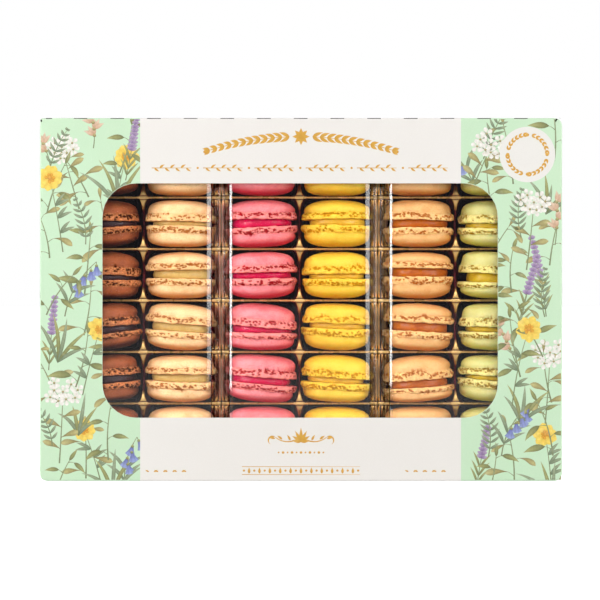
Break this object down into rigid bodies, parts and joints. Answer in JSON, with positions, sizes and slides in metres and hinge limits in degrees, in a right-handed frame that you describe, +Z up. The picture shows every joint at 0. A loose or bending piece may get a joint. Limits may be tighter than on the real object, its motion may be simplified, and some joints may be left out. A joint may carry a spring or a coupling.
{
  "type": "box of macarons",
  "caption": "Upright printed window carton with filled sandwich biscuits of several flavours, shown edge-on in gold trays under clear lids.",
  "frame": {"origin": "middle of the carton's underside, on the surface that it stands on", "axes": "+X to the right as seen from the window side, +Y from the window to the back, +Z up"},
  "size_m": [0.292, 0.048, 0.203],
  "materials": {
    "board": "printed and varnished folding board, mint green with a cream band",
    "tray": "gold metallised formed sheet",
    "lid": "clear formed plastic sheet",
    "chocolate_crust": "matt baked almond crust with a pitted foot",
    "chocolate_filling": "smooth soft filling with a light gloss",
    "vanilla_crust": "matt baked almond crust with a pitted foot",
    "vanilla_filling": "smooth soft filling with a light gloss",
    "raspberry_crust": "matt baked almond crust with a pitted foot",
    "raspberry_filling": "smooth soft filling with a light gloss",
    "lemon_crust": "matt baked almond crust with a pitted foot",
    "lemon_filling": "smooth soft filling with a light gloss",
    "caramel_crust": "matt baked almond crust with a pitted foot",
    "caramel_filling": "smooth soft filling with a light gloss",
    "pistachio_crust": "matt baked almond crust with a pitted foot",
    "pistachio_filling": "smooth soft filling with a light gloss"
  },
  "bodies": {
    "root": {"carton": "board", "tray_left": "tray", "lid_left": "lid", "tray_middle": "tray", "lid_middle": "lid", "tray_right": "tray", "lid_right": "lid", "macaron_chocolate_1": "chocolate_crust", "macaron_chocolate_2": "chocolate_crust", "macaron_chocolate_3": "chocolate_crust", "macaron_chocolate_4": "chocolate_crust", "macaron_chocolate_5": "chocolate_crust", "macaron_chocolate_6": "chocolate_crust", "macaron_vanilla_1": "vanilla_crust", "macaron_vanilla_2": "vanilla_crust", "macaron_vanilla_3": "vanilla_crust", "macaron_vanilla_4": "vanilla_crust", "macaron_vanilla_5": "vanilla_crust", "macaron_vanilla_6": "vanilla_crust", "macaron_raspberry_1": "raspberry_crust", "macaron_raspberry_2": "raspberry_crust", "macaron_raspberry_3": "raspberry_crust", "macaron_raspberry_4": "raspberry_crust", "macaron_raspberry_5": "raspberry_crust", "macaron_raspberry_6": "raspberry_crust", "macaron_lemon_1": "lemon_crust", "macaron_lemon_2": "lemon_crust", "macaron_lemon_3": "lemon_crust", "macaron_lemon_4": "lemon_crust", "macaron_lemon_5": "lemon_crust", "macaron_lemon_6": "lemon_crust", "macaron_caramel_1": "caramel_crust", "macaron_caramel_2": "caramel_crust", "macaron_caramel_3": "caramel_crust", "macaron_caramel_4": "caramel_crust", "macaron_caramel_5": "caramel_crust", "macaron_caramel_6": "caramel_crust", "macaron_pistachio_1": "pistachio_crust", "macaron_pistachio_2": "pistachio_crust", "macaron_pistachio_3": "pistachio_crust", "macaron_pistachio_4": "pistachio_crust", "macaron_pistachio_5": "pistachio_crust", "macaron_pistachio_6": "pistachio_crust"}
  },
  "joints": []
}
